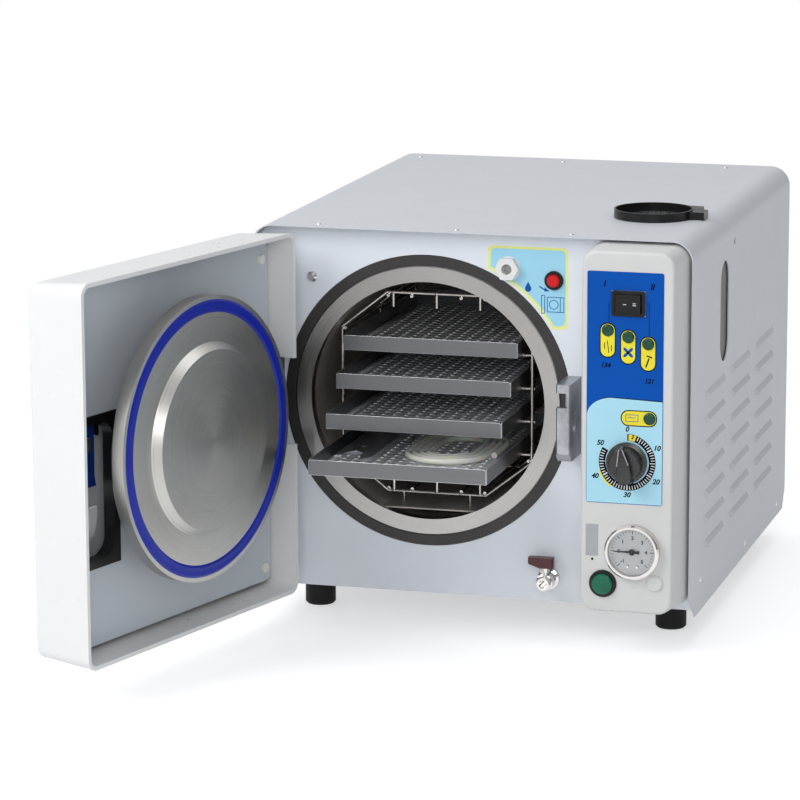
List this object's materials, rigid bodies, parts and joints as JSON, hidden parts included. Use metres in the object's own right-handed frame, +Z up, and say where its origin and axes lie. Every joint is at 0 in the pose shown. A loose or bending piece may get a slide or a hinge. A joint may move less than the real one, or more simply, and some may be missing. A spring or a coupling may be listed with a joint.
{
  "type": "autoclave",
  "caption": "Bench autoclave: boxy cabinet on feet with a round steam chamber, a side-hinged square door with a round lid, pull-out trays and a control column.",
  "frame": {"origin": "centre of the four feet, on the surface the machine stands on", "axes": "+X to the right seen from the front, +Y to the back, +Z up"},
  "size_m": [0.5416, 0.8476, 0.4009],
  "materials": {
    "bezel_plastic": "satin",
    "black_plastic": "satin",
    "black_rubber": "matte",
    "blue_label": "gloss",
    "blue_silicone": "satin",
    "brushed_steel": "brushed",
    "cabinet_paint": "satin",
    "cast_aluminium": "as cast",
    "chrome_ring": "polished",
    "clear_glass": "clear",
    "clear_silicone": "translucent",
    "dial_white": "satin",
    "door_lining": "satin",
    "door_white": "satin",
    "handle_blue": "gloss",
    "hook_steel": "machined",
    "insulation_grey": "matte",
    "lamp_green": "gloss",
    "needle_black": "matte",
    "red_plastic": "gloss",
    "tray_aluminium": "satin",
    "wire_steel": "polished"
  },
  "bodies": {
    "cabinet": {"air_port": "dial_white", "base_chassis": "cabinet_paint", "blank_plug": "black_plastic", "chamber_flange": "brushed_steel", "chamber_floor_plate": "wire_steel", "chamber_trim_ring": "black_rubber", "chamber_vessel": "brushed_steel", "control_bezel": "bezel_plastic", "control_overlay": "blue_label", "drain_tap": "wire_steel", "filler_collar": "black_plastic", "filler_neck": "brushed_steel", "front_panel": "cabinet_paint", "gauge_case": "wire_steel", "gauge_dial": "dial_white", "gauge_glass": "clear_glass", "heater_band": "tray_aluminium", "hinge_bracket": "black_plastic", "hinge_pin": "brushed_steel", "indicator_lamps": "lamp_green", "insulation_jacket": "insulation_grey", "keeper_screws": "wire_steel", "latch_keeper": "cast_aluminium", "level_window": "black_plastic", "mains_inlet": "black_rubber", "outer_cover": "cabinet_paint", "panel_stud": "wire_steel", "power_button_ring": "black_plastic", "rear_panel": "cabinet_paint", "release_button_ring": "chrome_ring", "rocker_frame": "black_plastic", "rubber_feet": "black_rubber", "safety_valve": "wire_steel", "timer_body": "bezel_plastic", "tray_rack": "wire_steel", "tray_rails": "wire_steel", "water_tank": "dial_white"},
    "door": {"door_arm": "black_plastic", "door_inner_panel": "door_lining", "door_panel_caps": "dial_white", "door_shell": "door_white", "handle_pivot_pin": "brushed_steel", "lid_disc": "brushed_steel", "lid_gasket": "blue_silicone", "lock_housing": "black_plastic"},
    "handle": {"door_handle": "handle_blue"},
    "hook": {"lock_hook": "hook_steel"},
    "drain_lever_body": {"drain_lever": "red_plastic", "drain_stem": "wire_steel"},
    "timer_dial": {"timer_knob": "black_plastic"},
    "rocker": {"rocker_paddle": "lamp_green"},
    "power_cap": {"power_button": "lamp_green"},
    "release_cap": {"release_button": "red_plastic"},
    "needle": {"gauge_needle": "needle_black"},
    "top_tray": {"tray_1": "tray_aluminium"},
    "second_tray": {"tray_2": "tray_aluminium"},
    "third_tray": {"tray_3": "tray_aluminium"},
    "bottom_tray": {"tray_4": "tray_aluminium", "tray_lifter": "tray_aluminium", "hose_coil": "clear_silicone"}
  },
  "joints": [
    {"name": "door_hinge", "type": "hinge", "parent": "cabinet", "child": "door", "pos_m": [-0.198, -0.2865, 0.22615], "axis": [0, 0, 1], "range_deg": [-4, 106]},
    {"name": "handle_pivot", "type": "hinge", "parent": "door", "child": "handle", "pos_m": [-0.28951, -0.53126, 0.246], "axis": [-0.2756, -0.9613, 0], "range_deg": [0, 14]},
    {"name": "hook_slide", "type": "slide", "parent": "door", "child": "hook", "axis": [0, 0, -1], "range_m": [0, 0.009]},
    {"name": "drain_lever_turn", "type": "hinge", "parent": "cabinet", "child": "drain_lever_body", "pos_m": [0.075, -0.2475, 0.08], "axis": [0, 0, 1], "range_deg": [0, 90]},
    {"name": "timer_turn", "type": "hinge", "parent": "cabinet", "child": "timer_dial", "pos_m": [0.1616, -0.2875, 0.1902], "axis": [0, 1, 0], "range_deg": [0, 300]},
    {"name": "rocker_tilt", "type": "hinge", "parent": "cabinet", "child": "rocker", "pos_m": [0.1617, -0.2855, 0.33925], "axis": [0, 0, 1], "range_deg": [-8, 8]},
    {"name": "power_button_push", "type": "slide", "parent": "cabinet", "child": "power_cap", "axis": [0, 1, 0], "range_m": [0, 0.003], "stiffness_N_per_m": 300},
    {"name": "release_button_push", "type": "slide", "parent": "cabinet", "child": "release_cap", "axis": [0, 1, 0], "range_m": [0, 0.0025], "stiffness_N_per_m": 300},
    {"name": "gauge_needle_turn", "type": "hinge", "parent": "cabinet", "child": "needle", "pos_m": [0.1678, -0.2875, 0.1058], "axis": [0, 1, 0], "range_deg": [-45, 225]},
    {"name": "top_tray_slide", "type": "slide", "parent": "cabinet", "child": "top_tray", "axis": [0, 1, 0], "range_m": [-0.00018, 0.00451]},
    {"name": "second_tray_slide", "type": "slide", "parent": "cabinet", "child": "second_tray", "axis": [0, 1, 0], "range_m": [-0.00116, 0.03051]},
    {"name": "third_tray_slide", "type": "slide", "parent": "cabinet", "child": "third_tray", "axis": [0, 1, 0], "range_m": [-0.00244, 0.06451]},
    {"name": "bottom_tray_slide", "type": "slide", "parent": "cabinet", "child": "bottom_tray", "axis": [0, 1, 0], "range_m": [-0.00458, 0.12101]}
  ],
  "couplings": [
    {"joint": "hook_slide", "follows": "handle_pivot", "m_per_rad": 0.036833},
    {"joint": "top_tray_slide", "follows": "door_hinge", "m_per_rad": 0.0024324},
    {"joint": "second_tray_slide", "follows": "door_hinge", "m_per_rad": 0.016486},
    {"joint": "third_tray_slide", "follows": "door_hinge", "m_per_rad": 0.034864},
    {"joint": "bottom_tray_slide", "follows": "door_hinge", "m_per_rad": 0.065404}
  ]
}
